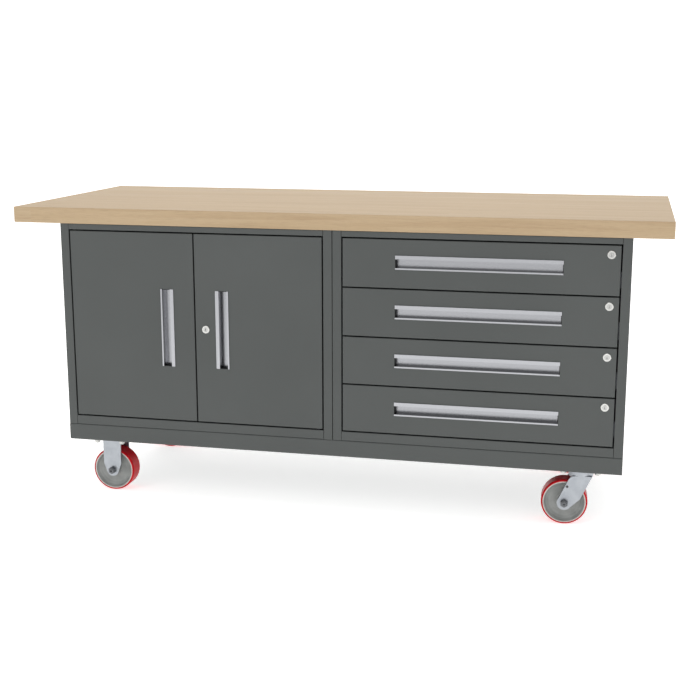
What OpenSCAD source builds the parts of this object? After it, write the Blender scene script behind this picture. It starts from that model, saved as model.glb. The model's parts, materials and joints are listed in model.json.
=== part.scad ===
// Mobile workbench: a thick maple top on a two-door cabinet and a four-drawer cabinet,
// carried by a steel base frame with two rigid and two swivel casters.
// Millimetres. The origin is on the floor under the centre of the worktop;
// +X is to the right, +Y to the back and +Z up.

/* [Worktop] */
// Length of the worktop, left to right
top_w = 1828.8; // [1800:0.1:1900]
// Depth of the worktop, front to back
top_d = 762; // [700:1:800]
// Thickness of the worktop
top_t = 44.45; // [38:0.05:60]
// How far the worktop reaches past the left cabinet
left_overhang = 138.4; // [110:0.1:150]
// How far the worktop's front edge stands in front of the cabinets
front_overhang = 6; // [5:1:30]

/* [Cabinets] */
// Width of each cabinet
cab_w = 793.4; // [780:0.1:800]
// Height of each cabinet
cab_h = 588; // [580:1:620]
// Depth of each cabinet
cab_d = 610; // [600:1:620]
// Visible width of the front stiles
stile_w = 25; // [24:0.5:30]
// Visible height of the top rail
top_rail_h = 17; // [15:0.5:25]
// Visible height of the bottom rail
bottom_rail_h = 26; // [22:0.5:32]
// Thickness of the folded sheet steel
sheet = 1.5; // [1.2:0.1:1.6]
// Gap round every door and drawer front
reveal = 3.5; // [3:0.5:5]

/* [Fronts] */
// Depth of the folded door and drawer fronts
front_t = 26; // [25:0.5:27]
// Width of the recessed pulls
pull_h = 38; // [36:1:42]
// Length of the drawer pulls
drawer_pull_l = 446; // [300:1:500]
// Length of the door pulls
door_pull_l = 222; // [150:1:260]
// Distance from a door's free edge to its pull
door_pull_inset = 60; // [50:1:80]
// How far a drawer slides out
drawer_travel = 530; // [300:10:540]

/* [Base and casters] */
// Height of the base frame
base_h = 48; // [46:1:60]
// Height of the casters, floor to mounting face
caster_h = 165; // [162:1:175]
// Wheel diameter
wheel_d = 127; // [120:1:127]
// Wheel width
wheel_w = 50.8; // [45:0.1:52]
// Distance from the swivel axis to the wheel's axle
trail = 43; // [40:1:48]
// Direction of the swivel casters at rest, in degrees
swivel_rest = 3; // [-20:1:20]

/* [Hidden] */
$fn = 64;

// Paint, wood and metal colours, for the preview only
paint = [0.38, 0.39, 0.38];
maple = [0.82, 0.72, 0.57];
aluminium = [0.72, 0.72, 0.75];
zinc = [0.78, 0.79, 0.82];
iron = [0.48, 0.49, 0.48];
red = [0.75, 0.10, 0.12];

// Levels and faces of the whole bench
base_z = caster_h;
cab_z = base_z + base_h;
top_z = cab_z + cab_h;
front_y = -top_d / 2 + front_overhang;
seam = 1.2;
left_x = -top_w / 2 + left_overhang;
right_x = left_x + cab_w + seam;
base_l = 2 * cab_w + seam;

// Outside radii of the folds in the cabinet sheet and in the base frame, and of the worktop's edges
bend_r = 2;
base_bend_r = 4;
top_edge_r = 2;

// The front opening of a cabinet, in the cabinet's own frame
open_w = cab_w - 2 * stile_w;
open_z0 = bottom_rail_h;
open_z1 = cab_h - top_rail_h;
open_h = open_z1 - open_z0;
lip_d = 24;         // depth of the stile's inner lip
butt = 0.6;         // joint between a stile and a rail
weld_gap = 0.3;     // hairline between the sheets of a drawer box
rear_flange = 15;
rail_d = 60;        // depth of the flat flange under the worktop
rail_lip = 30;      // depth of the rail flange above the doors

// Doors, in the cabinet's frame
door_w = (open_w - 3 * reveal) / 2;
door_h = open_h - 2 * reveal;
door_z = open_z0 + reveal;
door_fold = 15;     // width of the fold at the back of a door
pivot_in = 12;      // pivot axis from the door's edge
pivot_back = 8;     // pivot axis behind the door's face
pivot_r = 4;
pivot_l = 11;       // how far the pin reaches into the door
pin_head_r = 6;
pin_head_h = 3;
pin_collar_r = 7;
door_lock_in = 30;  // lock axis from the door's free edge
door_cam_l = 46;
bolt_in = 24;       // sliding bolt from the left door's free edge
bolt_r = 4;
bolt_travel = 12;

// Drawers, in the cabinet's frame
drawer_count = 4;
drawer_w = open_w - 2 * reveal;
drawer_h = (open_h - (drawer_count + 1) * reveal) / drawer_count;
slide_t = 12.9;     // room for a slide between the upright and the drawer box
slide_l = 550;
slide_y = 36;
slide_z = 38;       // slide's centre line above the bottom of the drawer front
slide_h = 45;       // outer member: height and depth
slide_d = 10.5;
middle_in = 2;      // middle member: set in from the outer's web, height and depth
middle_h = 39;
middle_d = 8.5;
inner_h = 33;       // inner member on the box: height and depth
inner_d = 6.5;
slide_web = 1.5;
box_w = open_w - 2 * slide_t;
box_z = 8;
box_h = 90;
box_l = 540;
lock_in = 24.5;     // lock axis from the drawer front's top and right edges
drawer_cam_l = 36;
drawer_pull_up = 4; // pull's centre above the drawer front's middle

// Recessed pull section: lip, grip flange, pocket
pull_lip = 4.2;
pull_grip = 10;
pull_depth = 20;
pull_wall = 2;
pull_side = 3;      // flange overlap on the panel

// Locks
plug_r = 7;
barrel_r = 9.5;
bezel_r = 11;
bezel_t = 2.2;
bezel_ease = 0.8;
lock_nut = [13.5, 5];   // fixing nut: [radius across corners, height]
cam_nut = [6, 4];
cam_t = 2.5;
cam_w = 14;
cam_gap = 1.5;      // cam behind the back of the front

// Fasteners
m10_r = 4.75;
m10_hole = 5.2;
m10_head = [8.5, 6];    // head and nut: [radius across corners, height]
m10_nut_h = 8;
m8_r = 4;
m8_hole = 4.4;
m8_head = [7.5, 5.3];
m8_nut_h = 6.5;
screw_r = 3;
screw_head = [6.5, 5];
screw_washer = [9, 1.6];
bolt_end = 2;           // thread that stands out of a nut

// Base frame
base_t = 2.5;
base_flange = 40;
base_lip = 15;
cross_w = 140;
cross_t = 4;
cross_h = 40;

// Casters
caster_in_x = 110;
caster_in_y = 76;
rigid_x = left_x + caster_in_x;
swivel_x = left_x + base_l - caster_in_x;
caster_ys = [front_y + caster_in_y, front_y + cab_d - caster_in_y];
plate_t = 5;
plate_long = 114;
plate_short = 102;
bolt_long = 92;     // caster bolt spacing, long way
bolt_short = 77;    // caster bolt spacing, short way
leg_t = 4;
leg_in = 29;        // half the room between the legs
leg_w = 54;
axle_z = wheel_d / 2;
axle_r = 6.35;
nut_r = 11;         // axle nut, across corners
nut_h = 9;
nut_collar = 2;     // collar round the bolt's end, past the nut
axle_head_h = 8;
drill_r = 2.6;      // centre drilling in the bolt's end
drill_depth = 6;
sleeve_r = 9.525;
hub_bore = 9.6;
hub_r = 58.8;       // where the tread starts
leg_hole_x = 6.5;   // hole in a swivel fork's legs, from the axle
leg_hole_z = 47;
leg_hole_r = 3.8;
kingpin_r = 9;
race_r = 38;
race_h = 10;
dome_h = 8;         // the fork's raised lower race
crown_t = 5;
crown_gap = 0.7;
crown_z = caster_h - plate_t - race_h - crown_gap - dome_h - crown_t;

// A box from its lowest corner to its highest
module block(lo, hi) translate(lo) cube([hi[0] - lo[0], hi[1] - lo[1], hi[2] - lo[2]]);

// Quarter turn of a fold round c, from angle a0 clockwise
function bend(c, r, a0) = [for (a = [0 : 18 : 90]) c + r * [cos(a0 - a), sin(a0 - a)]];

// Outline of a folded front, as [depth, height]: rounded at both front corners
function front_outline(height, depth, r) =
    concat([[depth, 0]], bend([r, r], r, 270), bend([r, height - r], r, 180), [[depth, height]]);

// Outline of a folded channel of sheet t, open to the back: flanges of depth low and high
function channel_outline(height, low, high, r, t) =
    concat([[low, 0]], bend([r, r], r, 270), bend([r, height - r], r, 180),
           [[high, height], [high, height - t], [t, height - t], [t, t], [low, t]]);

// Extrudes an outline of [depth, height] along +X
module along_x(length) rotate([90, 0, 90]) linear_extrude(length) children();

// A block whose four front edges are folds of radius r
module folded_block(w, d, h, r) intersection() {
    along_x(w) polygon(front_outline(h, d, r));
    linear_extrude(h) polygon([for (p = front_outline(w, d, r)) [p[1], p[0]]]);
}

// Outline of a board with eased edges, starting at the origin
function eased(w, h, r) =
    concat(bend([r, r], r, 270), bend([r, h - r], r, 180),
           bend([w - r, h - r], r, 90), bend([w - r, r], r, 0));

// The frame of the cabinet whose left side is at x
module at_cabinet(x) translate([x, front_y, cab_z]) children();

// A hexagon bolt along +Z: head below z = 0, nut above the grip
module hex_bolt(r, head, grip, nut_h) {
    translate([0, 0, -head[1]]) cylinder(r = head[0], h = head[1], $fn = 6);
    translate([0, 0, -head[1] / 2]) cylinder(r = r, h = head[1] / 2 + grip + nut_h + bolt_end);
    translate([0, 0, grip]) cylinder(r = head[0], h = nut_h, $fn = 6);
}

/* ---------- worktop ---------- */

// Where the worktop screws stand in a cabinet's frame
screw_spots = [for (x = [120, cab_w - 120], y = [40, cab_d - 2 * sheet - 30]) [x, y]];
screw_depth = 32;

module worktop() color(maple)
    difference() {
        translate([-top_w / 2, -top_d / 2, top_z]) intersection() {
            along_x(top_w) polygon(eased(top_d, top_t, top_edge_r));
            translate([0, top_d, 0]) rotate([90, 0, 0]) linear_extrude(top_d)
                polygon(eased(top_w, top_t, top_edge_r));
            linear_extrude(top_t) polygon(eased(top_w, top_d, top_edge_r));
        }
        for (x = [left_x, right_x], p = screw_spots)
            translate([x + p[0], front_y + p[1], top_z - 1])
                cylinder(r = screw_r + 0.1, h = screw_depth + 2);
    }

module worktop_screws() color(zinc)
    for (x = [left_x, right_x], p = screw_spots) at_cabinet(x)
        translate([p[0], p[1], cab_h - sheet]) {
            translate([0, 0, -screw_washer[1]]) cylinder(r = screw_washer[0], h = screw_washer[1]);
            translate([0, 0, -1 - screw_head[1]]) cylinder(r = screw_head[0], h = screw_head[1], $fn = 6);
            translate([0, 0, -2]) cylinder(r = screw_r, h = 2 + sheet + screw_depth);
        }

/* ---------- cabinet shell ---------- */

// Where bolts join the two cabinets, and a cabinet to the base frame
join_spots = [for (y = [110, cab_d - 110], z = [110, cab_h - 90]) [y, z]];
foot_in = 20;       // foot bolts from the front and rear faces
foot_spots = [for (x = [140, cab_w - 140], y = [foot_in, cab_d - foot_in]) [x, y]];

// Section of a side panel: wall on x = 0, stile and lip at the front, flange at the back
function side_section() =
    concat([[stile_w, lip_d]], bend([stile_w - bend_r, bend_r], bend_r, 0),
           bend([bend_r, bend_r], bend_r, 270), bend([bend_r, cab_d - bend_r], bend_r, 180),
           [[rear_flange, cab_d], [rear_flange, cab_d - sheet], [sheet, cab_d - sheet], [sheet, sheet],
            [stile_w - sheet, sheet], [stile_w - sheet, lip_d]]);

module side_panel(joined) difference() {
    linear_extrude(cab_h) polygon(side_section());
    if (joined) for (s = join_spots)
        translate([-1, s[0], s[1]]) rotate([0, 90, 0]) cylinder(r = m8_hole, h = sheet + 2);
}

module cabinet_sides() color(paint) for (x = [left_x, right_x]) at_cabinet(x) {
    side_panel(x == right_x);
    translate([cab_w, 0, 0]) mirror([1, 0, 0]) side_panel(x == left_x);
}

module cabinet_backs() color(paint) for (x = [left_x, right_x]) at_cabinet(x)
    block([sheet, cab_d - 2 * sheet, 0], [cab_w - sheet, cab_d - sheet, cab_h]);

// Centres of the door pivots, from the cabinet's left
pivot_xs = [stile_w + reveal + pivot_in, cab_w - stile_w - reveal - pivot_in];
bolt_x = stile_w + reveal + door_w - bolt_in;

// Folded ends that close a rail beside the stiles
module rail_ends(x0, x1, z, height) for (x = [x0, x1 - sheet])
    translate([x, 0, z]) along_x(sheet) polygon(front_outline(height, lip_d, bend_r));

// Floor with the bottom rail folded down at the front
module cabinet_floor(pivots) difference() {
    x0 = stile_w + butt;
    x1 = cab_w - stile_w - butt;
    y1 = cab_d - 2 * sheet;
    union() {
        translate([x0, 0, 0]) along_x(x1 - x0)
            polygon(channel_outline(open_z0, rail_lip, lip_d + 2, bend_r, sheet));
        rail_ends(x0, x1, 0, open_z0);
        block([sheet, lip_d + 1, open_z0 - sheet], [cab_w - sheet, y1, open_z0]);
        block([sheet, y1 - sheet, 0], [cab_w - sheet, y1, open_z0]);
        block([sheet, y1 - rail_lip, 0], [cab_w - sheet, y1, sheet]);
    }
    for (s = foot_spots)
        translate([s[0], s[1], -1]) cylinder(r = m8_hole, h = sheet + 2);
    if (pivots) for (px = pivot_xs)
        translate([px, pivot_back, open_z0 - sheet - 1]) cylinder(r = pivot_r + 0.1, h = sheet + 2);
}

module cabinet_floors() color(paint) {
    at_cabinet(left_x) cabinet_floor(true);
    at_cabinet(right_x) cabinet_floor(false);
}

// Front and rear rails of one cabinet, flat flanges up against the worktop
module top_rails(pivots) difference() {
    x0 = stile_w + butt;
    x1 = cab_w - stile_w - butt;
    y1 = cab_d - 2 * sheet;
    union() {
        translate([x0, 0, open_z1]) along_x(x1 - x0)
            polygon(channel_outline(top_rail_h, rail_lip, rail_d, bend_r, sheet));
        rail_ends(x0, x1, open_z1, top_rail_h);
        block([sheet, y1 - rail_d, cab_h - sheet], [cab_w - sheet, y1, cab_h]);
        block([sheet, y1 - rail_d, cab_h - 20], [cab_w - sheet, y1 - rail_d + sheet, cab_h]);
    }
    for (s = screw_spots)
        translate([s[0], s[1], cab_h - sheet - 1]) cylinder(r = screw_r + 0.3, h = sheet + 2);
    if (pivots) {
        for (px = pivot_xs)
            translate([px, pivot_back, open_z1 - 1]) cylinder(r = pivot_r + 0.1, h = sheet + 2);
        translate([bolt_x, front_t / 2, open_z1 - 1]) cylinder(r = bolt_r + 0.6, h = sheet + 2);
    }
}

module cabinet_top_rails() color(paint) {
    at_cabinet(left_x) top_rails(true);
    at_cabinet(right_x) top_rails(false);
}

module cabinet_bolts() color(zinc) {
    for (s = join_spots) at_cabinet(left_x)
        translate([cab_w - sheet, s[0], s[1]]) rotate([0, 90, 0])
            hex_bolt(m8_r, m8_head, 2 * sheet + seam, m8_nut_h);
    for (x = [left_x, right_x], s = foot_spots) at_cabinet(x)
        translate([s[0], s[1], sheet]) rotate([180, 0, 0])
            hex_bolt(m8_r, m8_head, sheet + base_t, m8_nut_h);
}

/* ---------- shelf ---------- */

shelf_z = 268;
shelf_y0 = 50;
shelf_y1 = cab_d - 20;
shelf_lip = 24;
clip_t = 4;

module shelf() color(paint) at_cabinet(left_x) difference() {
    block([sheet + 2, shelf_y0, shelf_z - shelf_lip], [cab_w - sheet - 2, shelf_y1, shelf_z]);
    block([0, shelf_y0 + sheet, shelf_z - shelf_lip - 1], [cab_w, shelf_y1 - sheet, shelf_z - sheet]);
}

// Four angle clips on the side walls, under the shelf
module shelf_clips() color(zinc) at_cabinet(left_x)
    for (side = [0, 1], y = [shelf_y0 + 60, shelf_y1 - 80])
        translate([side * cab_w, 0, 0]) mirror([side, 0, 0]) {
            block([sheet, y, shelf_z - sheet - 22], [sheet + 1.5, y + 20, shelf_z - sheet]);
            block([sheet, y, shelf_z - sheet - clip_t], [sheet + 14, y + 20, shelf_z - sheet]);
        }

/* ---------- base frame ---------- */

// Front or rear channel with closed ends, its face on y = 0
module base_long_channel() difference() {
    union() {
        along_x(base_l) polygon(channel_outline(base_h, base_lip, base_flange, base_bend_r, base_t));
        for (x = [0, base_l - base_t])
            translate([x, 0, 0]) along_x(base_t) polygon(front_outline(base_h, base_flange, base_bend_r));
    }
    for (x = [0, cab_w + seam], s = foot_spots)
        translate([x + s[0], foot_in, base_h - base_t - 1]) cylinder(r = m8_hole, h = base_t + 2);
}

// End channel between the long channels, its face on x = 0
module base_end_channel() translate([0, cab_d - base_flange, 0]) rotate([90, 0, 0])
    linear_extrude(cab_d - 2 * base_flange)
        polygon(channel_outline(base_h, base_lip, base_flange, base_bend_r, base_t));

// Upright spots for a caster's four bolts, long way along X or Y
function caster_spots(along_x) =
    let (a = (along_x ? bolt_long : bolt_short) / 2, b = (along_x ? bolt_short : bolt_long) / 2)
    [for (i = [-1, 1], j = [-1, 1]) [i * a, j * b]];

// Cross member that carries a pair of casters, centred on x
module base_cross_member(x, along_x) difference() {
    y0 = front_y + base_lip;
    y1 = front_y + cab_d - base_lip;
    union() {
        block([x - cross_w / 2, y0, base_z], [x + cross_w / 2, y1, base_z + cross_t]);
        for (i = [-1, 1])
            translate([x + i * (cross_w - base_t) / 2 - base_t / 2, y0, base_z])
                cube([base_t, y1 - y0, cross_h]);
    }
    for (y = caster_ys, s = caster_spots(along_x))
        translate([x + s[0], y + s[1], base_z - 1]) cylinder(r = m10_hole, h = cross_t + 2);
}

module base_frame() color(paint) {
    translate([left_x, front_y, base_z]) {
        base_long_channel();
        translate([0, cab_d, 0]) mirror([0, 1, 0]) base_long_channel();
        base_end_channel();
        translate([base_l, 0, 0]) mirror([1, 0, 0]) base_end_channel();
    }
    base_cross_member(rigid_x, false);
    base_cross_member(swivel_x, true);
}

/* ---------- recessed pull ---------- */

// Section of the pull: [depth behind the panel's face, height across the pull]
function pull_section() =
    let (h = pull_h / 2, b = h - pull_side, o0 = -h + pull_lip, o1 = h - pull_grip,
         d = pull_depth, w = pull_wall, c = b - w)
    [[-w, -h], [-w, o0], [d, o0], [d, c], [0, c], [0, o1], [-w, o1], [-w, h],
     [0, h], [0, b], [d + w, b], [d + w, -b], [0, -b], [0, -h]];

// Pull along +X from x = 0, grip flange at the top
module pull_across(length) along_x(length) polygon(pull_section());

// Pull along +Z from z = 0, grip flange towards +X
module pull_upright(length) linear_extrude(length) polygon([for (p = pull_section()) [p[1], p[0]]]);

pull_cut = pull_h / 2 - pull_side + 0.2;

/* ---------- doors ---------- */

door_mid_z = door_z + door_h / 2;

// Left-hand door in the cabinet's frame: hinged on the left, free edge to the right
module door_shell(locked) {
    x0 = stile_w + reveal;
    x1 = x0 + door_w;
    z1 = door_z + door_h;
    pull_x = x1 - door_pull_inset - pull_h / 2;
    difference() {
        union() {
            difference() {
                translate([x0, 0, door_z]) folded_block(door_w, front_t, door_h, bend_r);
                block([x0 + sheet, sheet, door_z + sheet], [x1 - sheet, front_t - sheet, z1 - sheet]);
                block([x0 + door_fold, sheet, door_z + door_fold],
                      [x1 - door_fold, front_t + 1, z1 - door_fold]);
            }
            for (z = [door_z + sheet, z1 - sheet - pivot_l])
                block([x0 + sheet, sheet, z], [x0 + 2 * pivot_in, 2 * pivot_back, z + pivot_l]);
            if (!locked) block([bolt_x - 8, sheet, z1 - 48], [bolt_x + 8, front_t - 6, z1 - 44]);
        }
        for (z = [door_z - 1, z1 - pivot_l])
            translate([x0 + pivot_in, pivot_back, z]) cylinder(r = pivot_r + 0.05, h = pivot_l + 1);
        block([pull_x - pull_cut, -1, door_mid_z - door_pull_l / 2],
              [pull_x + pull_cut, sheet + 1, door_mid_z + door_pull_l / 2]);
        if (locked)
            translate([x1 - door_lock_in, -1, door_mid_z]) rotate([-90, 0, 0])
                cylinder(r = barrel_r + 0.2, h = sheet + 2);
        else
            translate([bolt_x, front_t / 2, z1 - 50]) cylinder(r = bolt_r + 0.08, h = 52);
    }
}

module door_pull() {
    pull_x = stile_w + reveal + door_w - door_pull_inset - pull_h / 2;
    translate([pull_x, 0, door_mid_z - door_pull_l / 2]) pull_upright(door_pull_l);
}

// Turns a left-hand door's part into the right-hand door's
module right_hand() translate([cab_w, 0, 0]) mirror([1, 0, 0]) children();

module left_door() color(paint) at_cabinet(left_x) door_shell(false);
module right_door() color(paint) at_cabinet(left_x) right_hand() door_shell(true);
module left_door_pull() color(aluminium) at_cabinet(left_x) door_pull();
module right_door_pull() color(aluminium) at_cabinet(left_x) right_hand() door_pull();

// Sliding bolt that holds the left door: rod in a guide, with a thumb tab
module left_door_bolt() color(zinc) at_cabinet(left_x) {
    z1 = door_z + door_h - 0.5;
    translate([bolt_x, front_t / 2, z1 - 90]) cylinder(r = bolt_r, h = 90);
    translate([bolt_x - 3, front_t / 2, z1 - 84]) cube([6, front_t / 2 + 8, 10]);
}

// Pins fixed to the rails, with a collar under each door
module door_pivot_pins() color(zinc) at_cabinet(left_x)
    for (px = pivot_xs) translate([px, pivot_back, 0]) {
        translate([0, 0, open_z1 - reveal - pivot_l + 1]) cylinder(r = pivot_r, h = reveal + pivot_l + sheet);
        translate([0, 0, open_z1 + sheet]) cylinder(r = pin_head_r, h = pin_head_h);
        translate([0, 0, open_z0 - sheet - 1]) cylinder(r = pivot_r, h = sheet + reveal + pivot_l - 1);
        translate([0, 0, open_z0]) cylinder(r = pin_collar_r, h = reveal - 0.2);
        translate([0, 0, open_z0 - sheet - pin_head_h]) cylinder(r = pin_head_r, h = pin_head_h);
    }

/* ---------- locks ---------- */

// Fixed housing of a lock at the origin: bezel on the face, barrel through the front, fixing nut
module lock_housing() difference() {
    union() {
        rotate([90, 0, 0]) rotate_extrude()
            polygon([[0, 0], [bezel_r, 0], [bezel_r, bezel_t - bezel_ease],
                     [bezel_r - bezel_ease, bezel_t], [0, bezel_t]]);
        rotate([-90, 0, 0]) cylinder(r = barrel_r, h = front_t);
        translate([0, sheet, 0]) rotate([-90, 0, 0]) cylinder(r = lock_nut[0], h = lock_nut[1], $fn = 6);
    }
    translate([0, -bezel_t - 1, 0]) rotate([-90, 0, 0])
        cylinder(r = plug_r + 0.06, h = front_t + bezel_t + 2);
}

// Plug along +Y through a housing at the origin, with its cam hanging down
module lock_plug(cam_l) {
    cam_y = front_t + cam_gap;
    face = bezel_t + 0.4;
    difference() {
        translate([0, -face, 0]) rotate([-90, 0, 0]) cylinder(r = plug_r, h = cam_y + face);
        block([-0.8, -face - 1, -4], [0.8, 6, 4]);
    }
    difference() {
        union() {
            translate([0, cam_y, 0]) rotate([-90, 0, 0]) cylinder(r = cam_w / 2, h = cam_t);
            block([-cam_w / 2, cam_y, -cam_l], [cam_w / 2, cam_y + cam_t, 0]);
        }
        for (i = [-1, 1])
            translate([i * cam_w / 2, cam_y - 1, -cam_l]) rotate([0, 45, 0])
                translate([-2, 0, -2]) cube([4, cam_t + 2, 4]);
    }
    translate([0, cam_y + cam_t, 0]) rotate([-90, 0, 0]) cylinder(r = cam_nut[0], h = cam_nut[1], $fn = 6);
}

// The frame of the right door's lock
module at_door_lock() at_cabinet(left_x)
    translate([cab_w - stile_w - reveal - door_w + door_lock_in, 0, door_mid_z]) children();

module right_door_lock_housing() color(zinc) at_door_lock() lock_housing();
module right_door_lock_plug() color(zinc) at_door_lock() lock_plug(door_cam_l);

/* ---------- drawers ---------- */

// Bottom of drawer n's front in the cabinet's frame; drawer 1 is the top one
function drawer_z(n) = open_z1 - n * (drawer_h + reveal);

// The frame of drawer n: x = 0 at the front's left edge, z = 0 at its bottom
module at_drawer(n) at_cabinet(right_x) translate([stile_w + reveal, 0, drawer_z(n)]) children();

module drawer_front(n) color(paint) at_drawer(n) difference() {
    folded_block(drawer_w, front_t, drawer_h, bend_r);
    block([sheet, sheet, sheet], [drawer_w - sheet, front_t + 1, drawer_h - sheet]);
    translate([drawer_w / 2, 0, drawer_h / 2 + drawer_pull_up])
        block([-drawer_pull_l / 2, -1, -pull_cut], [drawer_pull_l / 2, sheet + 1, pull_cut]);
    translate([drawer_w - lock_in, -1, drawer_h - lock_in]) rotate([-90, 0, 0])
        cylinder(r = barrel_r + 0.2, h = sheet + 2);
}

// Drawer box: inner panel of the front, tray folded from one sheet, back, and the slides' inner
// members, spot welded together with a hairline between them
module drawer_box(n) color(paint) at_drawer(n) {
    x0 = (drawer_w - box_w) / 2;
    x1 = x0 + box_w;
    y0 = front_t + weld_gap;
    y1 = front_t + box_l;
    z1 = box_z + box_h;
    notch_z = drawer_h - lock_in - drawer_cam_l - 3;
    difference() {
        block([sheet, front_t - sheet, sheet], [drawer_w - sheet, front_t, drawer_h - sheet]);
        translate([drawer_w - lock_in, front_t - sheet - 1, drawer_h - lock_in]) rotate([-90, 0, 0])
            cylinder(r = barrel_r + 0.2, h = sheet + 2);
    }
    difference() {
        block([x0, y0, box_z], [x1, y1, z1]);
        block([x0 + sheet, y0 - 1, box_z + sheet], [x1 - sheet, y1 + 1, z1 + 1]);
        block([x1 - 2 * sheet, y0 - 1, notch_z], [x1 + 1, front_t + cam_gap + cam_t + 3, z1 + 1]);
    }
    block([x0 + sheet + weld_gap, y1 - sheet, box_z + sheet + weld_gap],
          [x1 - sheet - weld_gap, y1, z1]);
    for (side = [0, 1]) translate([side * drawer_w, 0, 0]) mirror([side, 0, 0])
        translate([x0, slide_y, slide_z]) mirror([1, 0, 0]) slide_channel(inner_d, inner_h, box_l - 20);
}

// Channel lying along +Y, web on x = 0, flanges towards +X
module slide_channel(depth, height, length) {
    block([0, 0, -height / 2], [slide_web, length, height / 2]);
    for (z = [-height / 2, height / 2 - slide_web])
        translate([0, 0, z]) cube([depth, length, slide_web]);
}

module drawer_pull(n) color(aluminium) at_drawer(n)
    translate([(drawer_w - drawer_pull_l) / 2, 0, drawer_h / 2 + drawer_pull_up])
        pull_across(drawer_pull_l);

// The frame of drawer n's lock
module at_drawer_lock(n) at_drawer(n) translate([drawer_w - lock_in, 0, drawer_h - lock_in]) children();

module drawer_lock_housing(n) color(zinc) at_drawer_lock(n) lock_housing();
module drawer_lock_plug(n) color(zinc) at_drawer_lock(n) lock_plug(drawer_cam_l);

// The left and right copies of a slide member, web towards the cabinet's wall
module slide_pair(n, web_in, depth, height)
    at_cabinet(right_x) for (side = [0, 1])
        translate([side * cab_w, 0, 0]) mirror([side, 0, 0])
            translate([stile_w + web_in, slide_y, drawer_z(n) + slide_z])
                slide_channel(depth, height, slide_l);

module drawer_slide_middles(n) color(zinc) slide_pair(n, middle_in, middle_d, middle_h);

module drawer_slide_outers() color(zinc)
    for (n = [1 : drawer_count]) slide_pair(n, 0, slide_d, slide_h);

// Hat channels that bring the slides level with the opening's edge
module drawer_uprights() color(paint) at_cabinet(right_x)
    for (side = [0, 1], y = [slide_y + 10, slide_y + slide_l - 60])
        translate([side * cab_w, 0, 0]) mirror([side, 0, 0])
            difference() {
                block([sheet, y, open_z0], [stile_w, y + 36, cab_h - 22]);
                block([0, y + sheet, open_z0 - 1], [stile_w - sheet, y + 36 - sheet, cab_h]);
            }

/* ---------- casters ---------- */

// Point where a line from p touches the circle of radius r round the origin; side is 1 or -1
function tangent(p, r, side) =
    let (d = norm(p), a = atan2(p[1], p[0]) + side * acos(r / d)) [r * cos(a), r * sin(a)];

// Outline of a rigid caster's leg, axle at the origin, up to height top
function rigid_leg(top) =
    let (w = leg_w / 2, s = 20, r = 18)
    [[-w, top], [-w, s], tangent([-w, s], r, 1), tangent([w, s], r, -1), [w, s], [w, top]];

// Outline of a swivel caster's leg, axle at the origin; the swivel axis is at x = trail
function swivel_leg(top) =
    let (r = 19.4, hip = [trail + 30, top], knee = [42, 12], shoulder = [trail - 34, top - 13])
    [hip, knee, tangent(knee, r, -1), tangent(shoulder, r, 1), shoulder,
     [trail - 30, top - 6], [trail - 24, top - 2], [trail - 16, top]];

// A pair of legs from an outline in X and Z, standing either side of the wheel
module legs(outline, tip_r) for (s = [-1, 1])
    translate([0, s * (leg_in + leg_t / 2) + leg_t / 2, axle_z]) rotate([90, 0, 0])
        linear_extrude(leg_t) {
            polygon(outline);
            circle(r = tip_r);
        }

module caster_plate(along_x) {
    w = along_x ? plate_long : plate_short;
    d = along_x ? plate_short : plate_long;
    difference() {
        block([-w / 2, -d / 2, base_z - plate_t], [w / 2, d / 2, base_z]);
        for (s = caster_spots(along_x))
            translate([s[0], s[1], base_z - plate_t - 1]) cylinder(r = m10_hole, h = plate_t + 2);
    }
}

// Hole for the axle bolt through both legs
module axle_hole() translate([0, leg_in + leg_t + 1, axle_z]) rotate([90, 0, 0])
    cylinder(r = axle_r + 0.15, h = 2 * (leg_in + leg_t + 1));

module rigid_fork() {
    caster_plate(false);
    difference() {
        legs(rigid_leg(base_z - plate_t - axle_z), 18.5);
        axle_hole();
    }
}

// Axle bolt with its sleeve between the legs, collared nut to the front, head to the back
module axle() translate([0, 0, axle_z]) rotate([90, 0, 0]) {
    face = leg_in + leg_t;
    end = face + nut_h + 2 * nut_collar;
    translate([0, 0, -leg_in]) cylinder(r = sleeve_r, h = 2 * leg_in);
    difference() {
        union() {
            translate([0, 0, -face - axle_head_h / 2])
                cylinder(r = axle_r, h = end + face + axle_head_h / 2);
            translate([0, 0, face]) rotate([0, 0, 30]) cylinder(r = nut_r, h = nut_h, $fn = 6);
            translate([0, 0, face + nut_h - 0.5]) cylinder(r = nut_r * 0.8, h = nut_collar + 0.5);
        }
        translate([0, 0, end - drill_depth]) cylinder(r = drill_r, h = drill_depth + 1);
    }
    translate([0, 0, -face - axle_head_h]) cylinder(r = nut_r, h = axle_head_h, $fn = 6);
}

module rigid_caster_forks() color(zinc)
    for (y = caster_ys) translate([rigid_x, y, 0]) rigid_fork();

module rigid_caster_axles() color(zinc)
    for (y = caster_ys) translate([rigid_x, y, 0]) axle();

// Fixed half of a swivel caster: plate, ball race and kingpin with its nut
module swivel_caster_plates() color(zinc)
    for (y = caster_ys) translate([swivel_x, y, 0]) {
        caster_plate(true);
        translate([0, 0, base_z - plate_t - race_h]) cylinder(r = race_r, h = race_h);
        translate([0, 0, crown_z - 12]) cylinder(r = kingpin_r, h = base_z - plate_t - crown_z + 12);
        translate([0, 0, crown_z - 10.5]) cylinder(r = 15, h = 10, $fn = 6);
    }

// The frame of a swivel caster's fork: swivel axis on z, turned to its rest direction
module at_swivel(y) translate([swivel_x, y, 0]) rotate([0, 0, swivel_rest]) children();

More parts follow.
